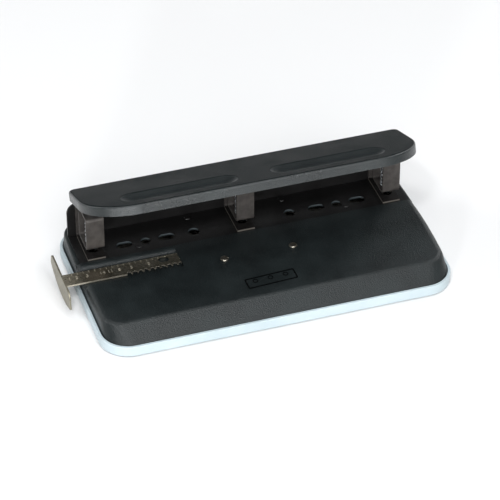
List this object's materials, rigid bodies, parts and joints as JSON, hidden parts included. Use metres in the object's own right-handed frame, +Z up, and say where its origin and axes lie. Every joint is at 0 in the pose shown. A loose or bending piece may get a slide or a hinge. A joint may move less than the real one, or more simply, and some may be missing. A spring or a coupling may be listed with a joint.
{
  "type": "hole punch",
  "caption": "Desk paper punch with a long lever handle over spaced punch heads, a chip-catching base pan and a sliding rack paper guide.",
  "frame": {"origin": "on the surface the punch stands on, under the middle of the base pan and the centre pad", "axes": "+X along the punch to the user's right, +Y away from the user towards the hinge, +Z up"},
  "size_m": [0.2621, 0.14, 0.086],
  "materials": {
    "tray_plastic": "satin",
    "foot_rubber": "matte",
    "black_enamel": "fine texture",
    "gunmetal_steel": "satin",
    "guide_steel": "satin",
    "pin_steel": "polished",
    "spring_steel": "bright",
    "frame_steel": "satin",
    "zinc_hardware": "zinc plated"
  },
  "bodies": {
    "base": {"base_pan": "tray_plastic", "rubber_feet": "foot_rubber", "base_cover": "black_enamel", "punch_frame": "black_enamel", "frame_rivets": "zinc_hardware", "table_rivets": "zinc_hardware", "guide_bracket": "frame_steel", "detent_spring": "spring_steel", "head_bolts": "zinc_hardware", "head_washers": "zinc_hardware", "head_nuts": "zinc_hardware", "hinge_bracket_left": "frame_steel", "hinge_bracket_centre": "frame_steel", "hinge_bracket_right": "frame_steel", "bracket_rivets": "zinc_hardware", "hinge_rod": "zinc_hardware", "rod_clips": "zinc_hardware", "punch_head_left": "gunmetal_steel", "punch_head_centre": "gunmetal_steel", "punch_head_right": "gunmetal_steel", "return_spring_left": "spring_steel", "return_spring_centre": "spring_steel", "return_spring_right": "spring_steel"},
    "handle": {"pressure_channel": "frame_steel", "handle_cap": "black_enamel"},
    "guide": {"paper_guide": "guide_steel"},
    "pin_left": {"punch_pin_left": "pin_steel", "pin_clip_left": "zinc_hardware"},
    "pin_centre": {"punch_pin_centre": "pin_steel", "pin_clip_centre": "zinc_hardware"},
    "pin_right": {"punch_pin_right": "pin_steel", "pin_clip_right": "zinc_hardware"}
  },
  "joints": [
    {"name": "handle_press", "type": "hinge", "parent": "base", "child": "handle", "pos_m": [0, 0.0455, 0.0548], "axis": [1, 0, 0], "range_deg": [0, 26], "stiffness_Nm_per_rad": 2, "springref_deg": -17.19},
    {"name": "guide_slide", "type": "slide", "parent": "base", "child": "guide", "axis": [1, 0, 0], "range_m": [-0.06, 0.009]},
    {"name": "pin_left_drive", "type": "slide", "parent": "base", "child": "pin_left", "axis": [0, 0, -1], "range_m": [0, 0.0083], "deforming": ["return_spring_left"]},
    {"name": "pin_centre_drive", "type": "slide", "parent": "base", "child": "pin_centre", "axis": [0, 0, -1], "range_m": [0, 0.0083], "deforming": ["return_spring_centre"]},
    {"name": "pin_right_drive", "type": "slide", "parent": "base", "child": "pin_right", "axis": [0, 0, -1], "range_m": [0, 0.0083], "deforming": ["return_spring_right"]}
  ],
  "couplings": [
    {"joint": "pin_left_drive", "follows": "handle_press", "m_per_rad": 0.018269},
    {"joint": "pin_centre_drive", "follows": "handle_press", "m_per_rad": 0.018269},
    {"joint": "pin_right_drive", "follows": "handle_press", "m_per_rad": 0.018269}
  ]
}
